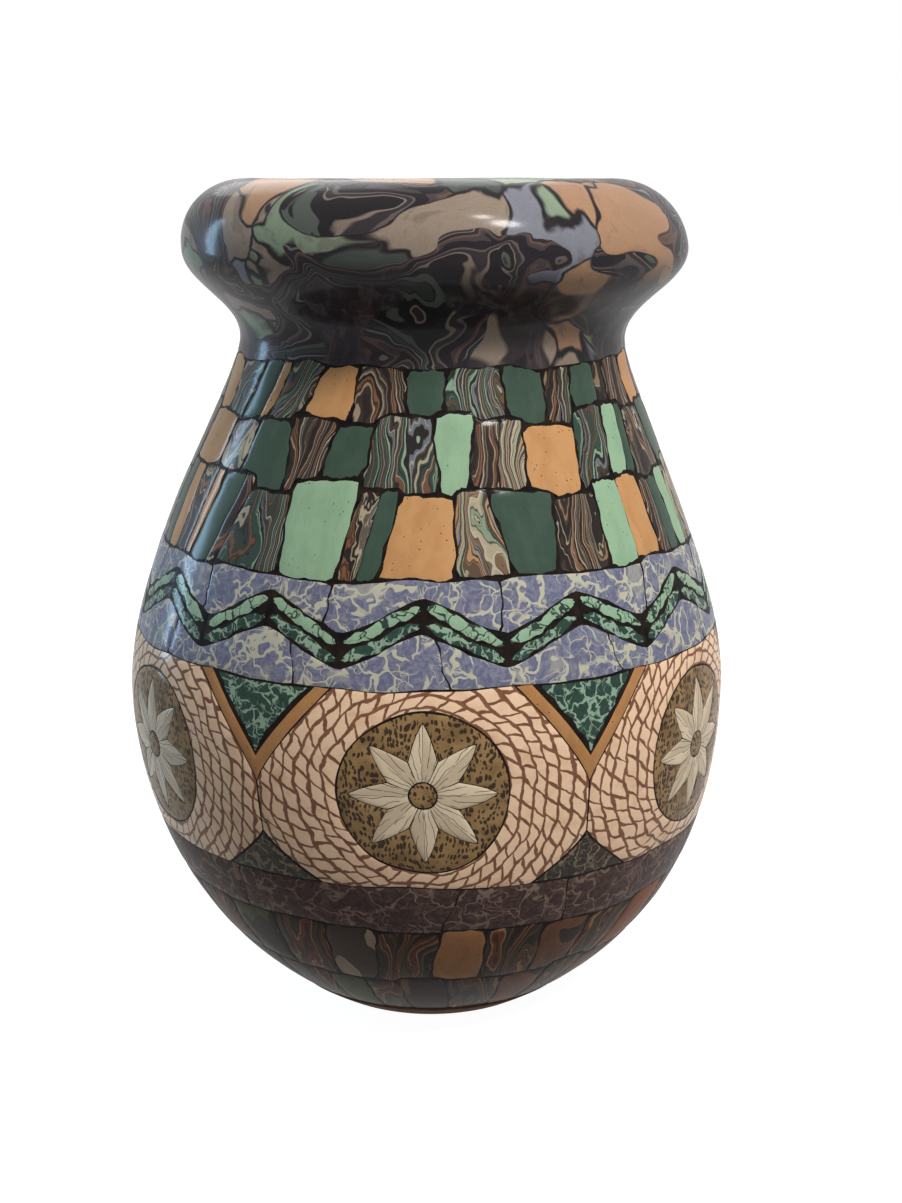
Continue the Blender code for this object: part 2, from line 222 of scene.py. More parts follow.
class Clay:
    """A coloured clay or glaze as a material, mixed from nodes."""

    def __init__(self, name, kept_with=bpy.data.materials):
        self.material = kept_with.new(name)
        self.material.use_nodes = True
        self.tree = self.material.node_tree
        self.shader = self.tree.nodes.get("Principled BSDF")

    def add(self, kind, settings=None, sockets=None, out=0):
        """Any node: its type, its settings, the values or links of its sockets, and which output flows on."""
        node = self.tree.nodes.new(kind)
        holder = node.color_ramp if kind == "ShaderNodeValToRGB" else node
        for name, value in (settings or {}).items():
            if name == "stops":
                holder.elements.remove(holder.elements[1])
                holder.elements[0].position = value[0][0]
                holder.elements[0].color = (*value[0][1], 1)
                for place, colour in value[1:]:
                    holder.elements.new(place).color = (*colour, 1)
            else:
                setattr(holder, name, value)
        for name, value in (sockets or {}).items():
            self.plug(node.inputs[name], value)
        return Flow(self, node.outputs[out])

    def plug(self, socket, value):
        """Link a flow to a socket, or set the socket to a value."""
        if isinstance(value, Flow):
            self.tree.links.new(value.socket, socket)
        elif socket.type == "RGBA":
            socket.default_value = (*value, 1)
        elif socket.type == "VECTOR" and not isinstance(value, tuple):
            socket.default_value = (value, value, value)
        else:
            socket.default_value = value

    def place(self):
        """The place in the vase, in millimetres."""
        return self.add("ShaderNodeTexCoord", out="Object") * MM_PER_METRE

    def lay(self):
        """The place in the slice, in millimetres: across, along, and a number of the slice's own."""
        return self.add("ShaderNodeAttribute", {"attribute_name": "lay"}, out="Vector")

    def apart(self, flow):
        """The three parts of a vector or colour."""
        return [self.add("ShaderNodeSeparateXYZ", sockets={0: flow}, out=part) for part in range(3)]

    def cloud(self, place, size, detail=2.0, roughness=0.5, out=0):
        """Soft noise whose blobs are about this many millimetres across."""
        sockets = {"Vector": place, "Scale": 1 / size, "Detail": detail, "Roughness": roughness}
        return self.add("ShaderNodeTexNoise", None, sockets, out)

    def stirred(self, place, size, reach, detail=2.0):
        """The place pushed aside by up to about half of the reach, as when clay is kneaded."""
        return place + (self.cloud(place, size, detail, out=1) - (0.5, 0.5, 0.5)) * reach

    def crumbs(self, place, size, feature="F1", randomness=1.0, out=0):
        """Cells of about this size: the distance from their middles or edges, or a colour for each."""
        sockets = {"Vector": place, "Scale": 1 / size, "Randomness": randomness}
        return self.add("ShaderNodeTexVoronoi", {"feature": feature}, sockets, out)

    def ramp(self, share, stops, interpolation="LINEAR"):
        """Colours from a list of (share, colour)."""
        return self.add("ShaderNodeValToRGB", {"interpolation": interpolation, "stops": stops}, {0: share})

    def rise(self, share, low, high):
        """0 below low, 1 above high and smooth between; falls instead where low is the greater."""
        falls = float(low > high)
        sockets = {0: share, 1: min(low, high), 2: max(low, high), 3: falls, 4: 1 - falls}
        return self.add("ShaderNodeMapRange", {"interpolation_type": "SMOOTHSTEP"}, sockets)

    def math(self, operation, first, second=0.0):
        """A Math node that has no operator of its own."""
        return self.add("ShaderNodeMath", {"operation": operation}, {0: first, 1: second})

    def blend(self, share, first, second):
        """One colour over another, by a share."""
        return self.add("ShaderNodeMix", {"data_type": "RGBA"}, {0: share, 6: first, 7: second}, out=2)

    def finish(self, colour, roughness, relief=None, gloss=GLOSS, reach=TOOL_MARKS):
        """Join the recipe to the shader: gloss is the clear glaze over it, reach its relief in metres."""
        sockets = {"Base Color": colour, "Roughness": roughness, "Coat Weight": gloss,
                   "Coat Roughness": GLAZE_ROUGHNESS, "Coat IOR": GLAZE_IOR,
                   "Specular IOR Level": SHEEN_UNDER_GLAZE if gloss else SHEEN_OF_BARE_CLAY}
        if relief:
            bumps = {"Strength": 1.0, "Distance": reach, "Height": relief}
            sockets["Normal"] = self.add("ShaderNodeBump", None, bumps)
        for name, value in sockets.items():
            self.plug(self.shader.inputs[name], value)
        return self


bare_clay = Clay("bare_clay")
spot = bare_clay.place()
grain = bare_clay.cloud(spot, 0.5, 3.0, 0.7)
# These browns are darker than the bare clay's own, as painted shade under the foot.
body = bare_clay.ramp(bare_clay.cloud(spot, 9.0, 3.0), [
    (0.3, (0.11, 0.06, 0.037)), (0.55, (0.17, 0.095, 0.057)), (0.75, (0.075, 0.042, 0.028))])
grog = bare_clay.rise(bare_clay.crumbs(spot, 0.9), 0.16, 0.1) * 0.6
body = bare_clay.blend(grog, body, (0.3, 0.22, 0.16))
bare_clay.finish(body, 0.75 + grain * 0.2, grain, gloss=0.0, reach=0.00008)

slip = Clay("black_slip")
smear = slip.cloud(slip.place(), 2.0, 3.0)
body = slip.ramp(smear, [(0.35, (0.006, 0.005, 0.006)), (0.7, (0.022, 0.015, 0.011))])
slip.finish(body, 0.4 + smear * 0.2, gloss=0.05)

recess_radius = STANDING_RADIUS - FOOT_RING
disc_side = wall_line((0.5, 1.2, 2.0, 2.8, BASE_HEIGHT))
joint_inside = disc_side[-1] - square_out(BASE_HEIGHT) * WALL
disc_section = np.concatenate((
    [[0, FOOT_RECESS], [8, FOOT_RECESS], [recess_radius - 1.4, FOOT_RECESS], [recess_radius - 0.8, 0.75],
     [recess_radius - 0.3, 0.15], [recess_radius + 0.2, 0], [STANDING_RADIUS - 2, 0],
     [STANDING_RADIUS - 0.3, 0]],
    disc_side - [0.15, 0],
    [joint_inside, [joint_inside[0] - 2.6, FLOOR_HEIGHT - 0.35], [joint_inside[0] - 4, FLOOR_HEIGHT],
     [8, FLOOR_HEIGHT], [0, FLOOR_HEIGHT]],
))
disc = turned(np.linspace(0, math.tau, DISC_STEPS, endpoint=False), disc_section, 0)
fired("base_disc", [disc], [bare_clay])

# The two lower courses: tiles cut by hand from slabs of plain and marbled clay, darker towards the foot,
# partly in the clays' own colours and partly as painted shade. Each is pressed into the mould beside the last
# with black slip, which shows as a line of uneven width.
LOWER_TILE_HEIGHT, TILES = 12.1, 30
LOWER_BAND_START = BASE_HEIGHT + 2 * LOWER_TILE_HEIGHT
SLIP_BLOB, WIDEST_SLIP, FINE_SEAM, STEP_TURN = 1.1, 0.4, 0.3, 0.028
EDGE_SINK, EDGE_SOFTNESS = 0.1, 0.35
CLEAN_EDGE, LOW_GLOSS = 0.006, 0.05


def wave(seed, share):
    """A smooth unsteady value about 0.5 along a cut, different for each seed."""
    dice = random.Random(seed)
    swing = sum(part * np.sin(waves * share + dice.random() * math.tau)
                for waves, part in ((5, 1), (11, 0.6), (19, 0.4)))
    return 0.5 + swing / 4


def uneven_ring(height, seed, rise):
    """A course's edge round the vase, that rises and falls by hand about its height."""
    dice = random.Random(seed)
    turns = [(waves, dice.random() * math.tau) for waves in (3, 7, 12, 19, 26)]

    def edge(angle):
        swing = sum(np.sin(waves * angle + start) / (1 + waves / 14) for waves, start in turns)
        return height + rise * swing / 2

    return edge


def stepped_ring(height, seed, rise, joints):
    """A course's edge that steps at each joint, because the tiles below it were cut by eye."""
    dice = random.Random(seed)
    places = sorted((joint(1.0) % math.tau, dice.uniform(-rise, rise)) for joint in joints)
    uneven = uneven_ring(0, seed, rise * 0.3)

    def edge(angle):
        turn = np.asarray(angle) % math.tau
        level = height + places[-1][1] + uneven(angle)
        for (place, after), (_, before) in zip(places, places[-1:] + places[:-1]):
            share = np.clip((turn - place) / STEP_TURN + 0.5, 0, 1)
            level = level + (after - before) * share * share * (3 - 2 * share)
        return level

    return edge


def cut(angle, lean, sway, seed):
    """A joint between two tiles: its angle at a share of the way up."""
    return lambda share: angle + lean * (share - 0.5) + sway * (wave(seed, share) - 0.5)


def tile_joints(count, offset, seed, jitter, lean):
    """Joints round a course, in brick bond with the course below, none of them quite upright."""
    dice = random.Random(seed)
    joints, leaned = [], 0.0
    for number in range(count):
        angle = math.tau * (number + offset) / count + dice.uniform(-jitter, jitter)
        leaned = 0.4 * leaned + dice.uniform(-lean, lean)
        joints.append(cut(angle, leaned, dice.uniform(0.01, 0.024), seed * 100 + number))
    return joints


def seam_width(seed, share, length, width):
    """How wide the slip is along a tile's edge, with a blob in each corner."""
    reach = length / SLIP_BLOB
    corners = np.exp(-((share * reach) ** 2)) + np.exp(-(((1 - share) * reach) ** 2))
    return width * (0.15 + 1.5 * wave(seed, share * 2) ** 1.5 + 1.1 * corners)


def sunk_at(edge, seed, spread):
    """How deep a slice's face lies: rounded off towards its edge, each pressed in a little more or less."""
    return EDGE_SINK * np.exp(-edge / EDGE_SOFTNESS) + spread * wave(seed, 1.0)


def own_number(seed):
    """The number that gives a slice its own place in the pattern of its clay."""
    return seed * 3.7 % 4000


def seamed(shares):
    """A grid of shares with its seams round it: 0 before the first row and 1 after the last."""
    wider = np.pad(shares, ((0, 0), (1, 1)), "edge")
    return np.pad(wider, ((1, 1), (0, 0)), constant_values=((0, 1), (0, 0)))


def laid(bottom, top, joints, clays, columns, rows, seam, seed, fine=()):
    """The slices of one course, from the edge below to the edge above and from joint to joint."""
    solids = []
    seams = [seam * (FINE_SEAM if number in fine else 1) for number in range(len(joints))]
    seams.append(seams[0])
    even_across, even_up = np.linspace(0, 1, columns - 1), np.linspace(0, 1, rows - 1)
    for number, (left, right) in enumerate(zip(joints, joints[1:] + joints[:1])):
        own = seed * 1000 + number
        turn = math.tau if number == len(joints) - 1 else 0
        middle = (left(0.5) + right(0.5) + turn) / 2
        low, high = float(bottom(middle)), float(top(middle))
        width = (right(0.5) + turn - left(0.5)) * float(radius_at((low + high) / 2))
        tall = high - low
        slips = [seam_width(own + 7 * side, even_up, tall, seams[number + side]) / width for side in (0, 1)]
        slips += [seam_width(own + 7 * side, even_across, width, seam) / tall for side in (3, 4)]
        before, after, below, above = (np.clip(slip_share, 0, WIDEST_SLIP) for slip_share in slips)
        across = seamed(before + (1 - before - after) * even_across[:, None])
        up = seamed(below + (1 - below - above) * even_up[:, None]).T
        angle = left(up) + (right(up) + turn - left(up)) * across
        height = bottom(angle) + (top(angle) - bottom(angle)) * up
        edge = np.minimum(np.minimum(across, 1 - across) * width, np.minimum(up, 1 - up) * tall)
        kinds = np.full((columns, rows), clays[number % len(clays)])
        kinds[0], kinds[-1], kinds[:, 0], kinds[:, -1] = 0, 0, 0, 0
        lay = np.stack(((across - 0.5) * width, up * tall, np.full_like(up, own_number(own))), axis=-1)
        solids.append(slab(angle, height, sunk_at(edge, own, 0.05), kinds, lay))
    return solids


def slab(angle, height, sunk, kinds, lay):
    """A slice through the wall: its outside as a grid, its cut sides in slip, and its inside."""
    outer = in_wall(angle, height, sunk + hand_wobble(angle, height))
    inner = in_wall(angle, height, WALL)
    count = len(outer[0])
    points = np.concatenate((outer, inner[:, ::-1]), axis=1)
    lays = np.concatenate((lay, lay[:, ::-1]), axis=1)
    faces_of = np.zeros((len(outer) - 1, 2 * count), int)
    faces_of[:, : count - 1] = kinds
    ring_points, faces, clays, ring_lay = joined_grid(points, faces_of, lays)
    if not np.allclose(points[0], points[-1], atol=1e-3):
        rounded = np.round(ring_points, SAME_PLACE_DIGITS)
        places = {tuple(place): spot for spot, place in enumerate(rounded)}
        for end in (0, -1):
            ids = [places[tuple(place)] for place in np.round(points[end], SAME_PLACE_DIGITS)]
            for spot in range(count - 1):
                corners = list(dict.fromkeys((ids[spot], ids[spot + 1], ids[-2 - spot], ids[-1 - spot])))
                if len(corners) > 2:
                    faces.append(corners)
                    clays.append(0)
    return ring_points, faces, clays, ring_lay


def plain_tile(name, colour, shade, specks, other=None, gloss=GLOSS):
    """Clay of one colour, kneaded unevenly, with a few dark specks; another clay may be folded into it."""
    clay = Clay(name)
    lay = clay.lay()
    streak = clay.cloud(clay.stirred(lay, 5.0, 3.0) * (1, 0.4, 1), 2.6, 4.0, 0.6)
    body = clay.blend(clay.rise(streak, 0.38, 0.68) * 0.75, colour, shade)
    if other:
        fold = clay.cloud(clay.stirred(lay * (1, 0.55, 1), 5.0, 4.0, 1.0), 7.5, 1.0)
        body = clay.blend(clay.rise(fold, 0.525, 0.535), body, other)
        join = clay.rise(clay.math("ABSOLUTE", fold - 0.53), 0.012, 0.006)
        body = clay.blend(join, body, (0.02, 0.018, 0.016))
    speck = clay.rise(clay.crumbs(lay + (0, 0, 9), 1.15), 0.15, 0.09)
    speck = speck * clay.rise(clay.cloud(lay, 4.0), 0.42, 0.55)
    body = clay.blend(speck * specks, body, (0.03, 0.025, 0.02))
    fine = clay.cloud(lay, 0.28)
    body = clay.blend(fine * 0.25, body, shade)
    return clay.finish(body, 0.38 + fine * 0.12, clay.cloud(lay, 2.2), gloss)


def layers_of(clays):
    """Ramp stops for layers of clay with clean edges, from (thickness, colour) pairs that repeat."""
    total, reached, stops = sum(thickness for thickness, _ in clays), 0.0, []
    for thickness, colour in clays:
        stops.append((reached / total + CLEAN_EDGE, colour))
        stops.append(((reached + thickness) / total - CLEAN_EDGE, colour))
        reached += thickness
    return stops


def marbled_tile(name, layers, spacing, pale, gloss=GLOSS):
    """Several clays folded together and cut so that their layers run up the tile."""
    clay = Clay(name)
    lay = clay.lay()
    across, _, own = clay.apart(lay)
    slow = clay.cloud(lay * (1, 0.36, 1), 7.0, 1.0) - 0.5
    quick = clay.cloud(lay * (1, 0.42, 1) + (0, 0, 50), 2.2, 2.0, 0.45) - 0.5
    flow = (across + slow * 22 + quick * 3.0) / spacing + own * 0.37
    body = clay.ramp(clay.math("FRACT", flow), layers_of(layers))
    thin = clay.math("ABSOLUTE", clay.math("FRACT", flow * 4.3 + quick * 0.8) - 0.5)
    body = clay.blend(clay.rise(thin, 0.38, 0.44) * 0.75, body, (0.018, 0.013, 0.012))
    body = clay.blend(clay.rise(thin, 0.07, 0.03) * clay.rise(slow, -0.02, 0.05) * 0.8, body, pale)
    fine = clay.cloud(lay, 0.35)
    body = clay.blend(fine * 0.3, body, (0.05, 0.04, 0.035))
    return clay.finish(body, 0.36 + fine * 0.1, clay.cloud(lay, 2.2), gloss)


# The lower clays are darker than those higher up: partly their own colours, partly painted shade towards the
# foot.
umber_streaks = marbled_tile("umber_streaks", (
    (3, (0.022, 0.011, 0.007)), (2, (0.072, 0.03, 0.015)), (0.9, (0.24, 0.13, 0.06)),
    (1.5, (0.036, 0.016, 0.009)), (1.6, (0.145, 0.042, 0.017)), (0.8, (0.3, 0.18, 0.095)),
    (2.5, (0.043, 0.021, 0.012)), (1.4, (0.078, 0.062, 0.03))), 5.2, (0.18, 0.12, 0.075), LOW_GLOSS)
lower_clays = [slip, umber_streaks]
for recipe in (("rust_clay", (0.28, 0.092, 0.034), (0.17, 0.048, 0.02), 0.8, None),
               ("olive_clay", (0.085, 0.09, 0.045), (0.045, 0.042, 0.024), 0.8, (0.03, 0.024, 0.02)),
               ("dusk_clay", (0.17, 0.08, 0.044), (0.095, 0.044, 0.027), 0.6, (0.024, 0.016, 0.013)),
               ("tan_clay", (0.34, 0.17, 0.078), (0.25, 0.115, 0.05), 0.7, None),
               ("sand_clay", (0.33, 0.25, 0.18), (0.22, 0.155, 0.105), 0.7, (0.04, 0.026, 0.022))):
    lower_clays.append(plain_tile(*recipe, LOW_GLOSS))

lower_joints = [tile_joints(TILES, course / 2, seed=50 + course, jitter=0.03, lean=0.05) for course in (0, 1)]
lower_edges = [uneven_ring(BASE_HEIGHT, seed=1, rise=0.0),
               stepped_ring(BASE_HEIGHT + LOWER_TILE_HEIGHT, 2, 1.1, lower_joints[0]),
               stepped_ring(LOWER_BAND_START, 3, 0.5, lower_joints[1])]
for course, mix in enumerate(((2, 3, 4, 3, 1, 4), (2, 5, 3, 6, 4, 5))):
    order = random.Random(40 + course)
    kinds = [1 if tile % 2 else order.choice(mix) for tile in range(TILES)]
    tiles = laid(*lower_edges[course : course + 2], lower_joints[course], kinds,
                 columns=12, rows=12, seam=0.27, seed=60 + course)
    fired(f"lower_tile_course_{course + 1}", tiles, lower_clays)

# The lower veined band: slices of dusky violet-brown clay shot through with a paler clay, cut across a folded
# block, so that the pale layers branch like veins; its colours are partly darkened as painted shade, low on
# the vase. It closes off the tiles before the belly is laid.
LOWER_BAND_HEIGHT = 9.0
BELLY_BAND_START = LOWER_BAND_START + LOWER_BAND_HEIGHT


def veined(name, ground, shade, vein, size, thick, pale, gloss=GLOSS):
    """Clay with wandering, branching veins of another colour and a few pale clouds, over a fine mottle."""
    clay = Clay(name)
    spot = clay.place()
    drift = clay.stirred(spot + clay.lay() * (0, 0, 0.01), size * 1.2, size * 1.1, 2.0)
    jagged = clay.stirred(drift, size * 0.3, size * 0.34, 0.0)
    swell = clay.cloud(spot, size * 1.1, 1.0) * 1.6 + 0.15
    main = clay.rise(clay.crumbs(jagged, size, "DISTANCE_TO_EDGE") / swell, thick * 1.3, thick * 0.8)
    main = main * clay.rise(clay.cloud(drift + (31, 7, 3), size * 1.2, 1.0), 0.36, 0.42)
    side = clay.crumbs(jagged + (5, 9, 2), size * 0.55, "DISTANCE_TO_EDGE")
    side = clay.rise(side, thick * 0.9, thick * 0.4)
    side = side * clay.rise(clay.cloud(drift + (3, 60, 9), size, 1.0), 0.46, 0.54)
    mottle = clay.cloud(drift, 0.9, 4.0, 0.75)
    body = clay.blend(clay.rise(mottle, 0.38, 0.66), ground, shade)
    clouds = clay.rise(clay.cloud(drift + (3, 30, 9), size * 1.5, 3.0), 0.58, 0.68) * pale
    body = clay.blend(clouds, body, vein)
    body = clay.blend(clay.math("MAXIMUM", main, side * 0.85), body, vein)
    return clay.finish(body, 0.38 + mottle * 0.1, clay.cloud(spot, 2.2), gloss)


# These colours are partly the clay's own and partly painted shade, darker low on the vase.
dusky = veined("dusk_violet_veins", (0.048, 0.03, 0.03), (0.104, 0.062, 0.054), (0.21, 0.145, 0.115),
               size=4.6, thick=0.036, pale=0.4, gloss=LOW_GLOSS)
belly_floor = uneven_ring(BELLY_BAND_START, seed=4, rise=0.35)
band_joints = tile_joints(11, 0.2, seed=71, jitter=0.12, lean=0.05)
band_slices = laid(lower_edges[2], belly_floor, band_joints, [1], columns=30, rows=9, seam=0.13, seed=72)
fired("lower_veined_band", band_slices, [slip, dusky])

# The belly band: cream-pink slices scored with fine rust lines that run round each roundel like courses of
# brick. Openings are cut through it for the inlays, and its slices meet midway between the roundels.
ROUNDELS, ROUNDEL_RADIUS, ROUNDEL_MARGIN = 6, 14.0, 3.2
BAND_HEIGHT = 2 * (ROUNDEL_RADIUS + ROUNDEL_MARGIN)
UPPER_BAND_START = BELLY_BAND_START + BAND_HEIGHT
ROUNDEL_HEIGHT = BELLY_BAND_START + BAND_HEIGHT / 2
UPPER_SPANDREL, LOWER_SPANDREL = (13.0, -17.0, 14), (9.5, 8.5, 9)
BRICK_COURSE, BRICK_LENGTH, BAND_SLIP = 2.15, 3.1, (0.16, 0.13, 0, 0)
HALF_TURN = math.pi / ROUNDELS
MIRRORED = (-1, 1)
belly_ceiling = uneven_ring(UPPER_BAND_START, seed=5, rise=0.4)


def middle_of(number):
    """The angle of a roundel's middle, the first at the front, or midway between two for a half."""
    return -math.pi / 2 + number * 2 * HALF_TURN


def on_belly(across, rise, middle):
    """The angle and height of a place on the belly, across and above the middle of a roundel or spandrel."""
    level = ROUNDEL_HEIGHT + rise
    angle = middle + np.arcsin(np.clip(across / radius_at(level), -1, 1))
    share = rise / BAND_HEIGHT + 0.5
    above, below = belly_ceiling(angle) - UPPER_BAND_START, belly_floor(angle) - BELLY_BAND_START
    return angle, level + (above * share + below * (1 - share))


def patch(near, far, middle, seams, kind, rows, seed, looped=False):
    """A slice between two drawn lines of (across, rise); seams are the slip at near, far, start and end."""
    steps = np.linalg.norm(np.diff(near + far, axis=0), axis=1) / 2
    length = np.concatenate(([0], np.cumsum(steps)))
    spots = reached = length / length[-1]
    if not looped:
        start, end = seams[2] / length[-1], 1 - seams[3] / length[-1]
        inside = (spots > start * 1.5) & (spots < 1 - (1 - end) * 1.5)
        spots = np.concatenate(([0, start], spots[inside], [end, 1]))
    near, far = (points_at(line, reached, spots) for line in (near, far))
    gap = np.linalg.norm(far - near, axis=1)
    phase = spots * (math.tau if looped else 5)
    widths = [np.clip(side * (0.6 + 0.8 * wave(seed + part, phase)) / np.maximum(gap, 1e-6), 0, 0.35)
              for part, side in enumerate(seams[:2])]
    if looped:
        closing = np.clip((spots - 0.95) / 0.05, 0, 1)
        widths = [width + (width[0] - width) * closing for width in widths]
    near_slip, far_slip = (width[:, None] for width in widths)
    between = near_slip + (1 - near_slip - far_slip) * np.linspace(0, 1, rows - 1)
    share = np.pad(between, ((0, 0), (1, 1)), constant_values=((0, 0), (0, 1)))
    place = near[:, None] + (far - near)[:, None] * share[..., None]
    angle, height = on_belly(place[..., 0], place[..., 1], middle)
    edge = np.minimum(share, 1 - share) * gap[:, None]
    kinds = np.full((len(spots) - 1, rows), kind)
    kinds[:, 0], kinds[:, -1] = 0, 0
    if not looped:
        kinds[0], kinds[-1] = 0, 0
    lay = np.concatenate((place, np.full((*angle.shape, 1), own_number(seed))), axis=-1)
    return slab(angle, height, sunk_at(edge, seed, 0.04), kinds, lay)


def spandrel_side(half_width, depth, steps):
    """A spandrel's right side, from the band's edge to its tip, as (across, rise) from its middle line."""
    share = np.linspace(0, 1, steps + 1)
    edge = math.copysign(BAND_HEIGHT / 2, -depth)
    return np.stack((half_width * (1 - share) ** 1.2, edge + depth * share), axis=1)


def beside(side):
    """A spandrel's side as seen from the roundel to its left."""
    radius = radius_at(ROUNDEL_HEIGHT + side[:, 1])
    return np.stack((radius * np.sin(HALF_TURN - np.arcsin(side[:, 0] / radius)), side[:, 1]), axis=1)


def spoke(turns, reach):
    """The points of (across, rise) at these turns about a middle and this reach from it."""
    return np.stack((reach * np.cos(turns), reach * np.sin(turns)), axis=-1)


def roundel_ring(number, turns):
    """The cut round a roundel, a little out of true, at the given turns about its middle."""
    untrue = 1 + 0.006 * np.sin(3 * turns + number) + 0.004 * np.sin(5 * turns + 2.1 * number)
    return spoke(turns, ROUNDEL_RADIUS * untrue)


cream = Clay("cream_bricks")
lay = cream.lay()
across, up, _ = cream.apart(cream.stirred(cream.stirred(lay, 9.0, 3.0, 1.0), 3.0, 1.4, 2.0))
reach = cream.math("SQRT", across * across + up * up)
turn = cream.math("ARCTAN2", up, across) / math.tau
courses = (reach - ROUNDEL_RADIUS) / BRICK_COURSE
level = cream.math("FLOOR", courses)
bricks = (level * BRICK_COURSE + ROUNDEL_RADIUS + 1.1) * math.tau / BRICK_LENGTH
in_course = cream.math("FRACT", courses)
bed = cream.math("ABSOLUTE", in_course - 0.5)
bond = turn * cream.math("ROUND", bricks) + level * 0.5 + in_course * 0.55 + 40
perpend = cream.math("ABSOLUTE", cream.math("FRACT", bond) - 0.5)
thick = (cream.cloud(lay, 2.0) - 0.5) * 0.22
lines = cream.math("MAXIMUM", cream.rise(bed + thick, 0.35, 0.41), cream.rise(perpend + thick, 0.39, 0.43))
body = cream.ramp(cream.cloud(lay, 5.0, 4.0, 0.6), [
    (0.3, (0.66, 0.43, 0.27)), (0.5, (0.82, 0.58, 0.395)), (0.72, (0.73, 0.485, 0.31))])
rust_line = cream.ramp(cream.cloud(lay, 1.5), [(0.35, (0.105, 0.03, 0.012)), (0.7, (0.19, 0.062, 0.027))])
body = cream.blend(lines * 0.92, body, rust_line)
cream.finish(body, 0.4, cream.cloud(lay, 2.2) - lines * 0.15, reach=0.00007)

upper_side, lower_side = spandrel_side(*UPPER_SPANDREL), spandrel_side(*LOWER_SPANDREL)
rise_between = np.linspace(lower_side[-1, 1], upper_side[-1, 1], 12)[1:-1]
waist = np.stack((radius_at(ROUNDEL_HEIGHT + rise_between) * math.sin(HALF_TURN), rise_between), axis=1)
right = np.concatenate((beside(lower_side), waist, beside(upper_side)[::-1]))
ceiling = np.linspace(right[-1], right[-1] * MIRRORED, 36)[1:-1]
ground = np.linspace(right[0] * MIRRORED, right[0], 42)[1:-1]
outer = np.concatenate((right, ceiling, (right * MIRRORED)[::-1], ground, right[:1]))
turns = np.unwrap(np.arctan2(outer[:, 1], outer[:, 0]))
band_solids = [patch(roundel_ring(number, turns), outer, middle_of(number), BAND_SLIP, 1, rows=12,
                     seed=100 + number, looped=True) for number in range(ROUNDELS)]
fired("belly_band", band_solids, [slip, cream])

# The roundels: discs of dark ochre clay flecked with black, each with an eight-rayed star of ivory clay let
# into it. Every ray is two slivers that lean towards each other, and a small flecked disc closes the middle.
STAR_RAYS, STAR_RADIUS, STAR_WAIST, STAR_MIDDLE = 8, 12.2, 6.2, 2.3
RAY_STEPS, HUB_STEPS = 8, 32
GROUND_SLIP, HUB_SLIP = (0.14, 0.16, 0, 0), (0.14, 0, 0, 0)
SLIVER_SLIP = (0.12, 0.14, 0.05, 0.1), (0.12, 0.14, 0.1, 0.05)


def star_line(number):
    """The star's outline from the first tip round, each side bowed out a little, as (across, rise)."""
    corners = [spoke(math.pi / 2 + math.pi * side / STAR_RAYS, STAR_WAIST if side % 2 else STAR_RADIUS)
               for side in range(2 * STAR_RAYS + 1)]
    points = []
    for side, (start, end) in enumerate(zip(corners, corners[1:])):
        share = np.linspace(0, 1, RAY_STEPS, endpoint=False)[:, None]
        out = (start + end) / np.linalg.norm(start + end)
        bow = 0.55 + 0.25 * wave(number * 31 + side, 1.0)
        points.append(start + (end - start) * share + out * bow * np.sin(math.pi * share))
    return np.concatenate((*points, points[0][:1]))


ochre = Clay("ochre_flecks")
lay = ochre.lay()
body = ochre.ramp(ochre.cloud(lay, 3.5, 4.0), [(0.35, (0.18, 0.105, 0.042)), (0.6, (0.31, 0.19, 0.08))])
grain_way = ochre.stirred(lay, 5.0, 4.0) * (1.25, 0.62, 1)
fleck = ochre.crumbs(grain_way, 0.82, randomness=0.55) + ochre.cloud(lay, 3.0) * 0.16
body = ochre.blend(ochre.rise(fleck, 0.55, 0.47) * 0.92, body, (0.022, 0.013, 0.01))
ochre.finish(body, 0.4, ochre.cloud(lay, 2.2))


def ivory(name, light, shade):
    """Ivory clay with thin dark lines that run out along the rays."""
    clay = Clay(name)
    lay = clay.lay()
    across, up, _ = clay.apart(clay.stirred(lay, 3.0, 1.3))
    turn = clay.math("ARCTAN2", up, across) * STAR_RAYS * 4 / math.tau
    reach = clay.math("SQRT", across * across + up * up)
    off_line = clay.math("ABSOLUTE", clay.math("FRACT", turn + 64.25) - 0.5) * reach
    line = clay.rise(off_line, 0.42, 0.16) * clay.rise(clay.cloud(lay, 3.0), 0.38, 0.46)
    body = clay.blend(clay.cloud(lay, 4.0, 4.0, 0.6), light, shade)
    return clay.finish(clay.blend(line * 0.9, body, (0.035, 0.022, 0.016)), 0.36, clay.cloud(lay, 2.2))


# The second ivory is a shaded copy of the first: each ray's two slivers are painted as a lit side and a
# shaded side.
ivory_light = ivory("ivory_light", (0.74, 0.62, 0.45), (0.62, 0.5, 0.35))
ivory_shade = ivory("ivory_shade", (0.62, 0.51, 0.36), (0.5, 0.39, 0.27))
for number in range(ROUNDELS):
    middle = middle_of(number)
    star = star_line(number)
    turns = np.unwrap(np.arctan2(star[:, 1], star[:, 0]))
    ground = patch(star, roundel_ring(number, turns), middle, GROUND_SLIP, 1, rows=9,
                   seed=200 + number, looped=True)
    fired(f"roundel_ground_{number + 1}", [ground], [slip, ochre])
    slivers = []
    for side in range(2 * STAR_RAYS):
        edge = star[side * RAY_STEPS : (side + 1) * RAY_STEPS + 1]
        turns = math.pi / 2 + math.pi * (side + np.linspace(0, 1, RAY_STEPS + 1)) / STAR_RAYS
        slivers.append(patch(edge, spoke(turns, STAR_MIDDLE), middle, SLIVER_SLIP[side % 2], 1 + side % 2,
                             rows=9, seed=300 + number * 20 + side))
    hub = spoke(np.linspace(0, math.tau, HUB_STEPS + 1), STAR_MIDDLE)
    slivers.append(patch(hub, hub * 0, middle, HUB_SLIP, 3, rows=5, seed=290 + number, looped=True))
    fired(f"roundel_star_{number + 1}", slivers, [slip, ivory_light, ivory_shade, ochre])

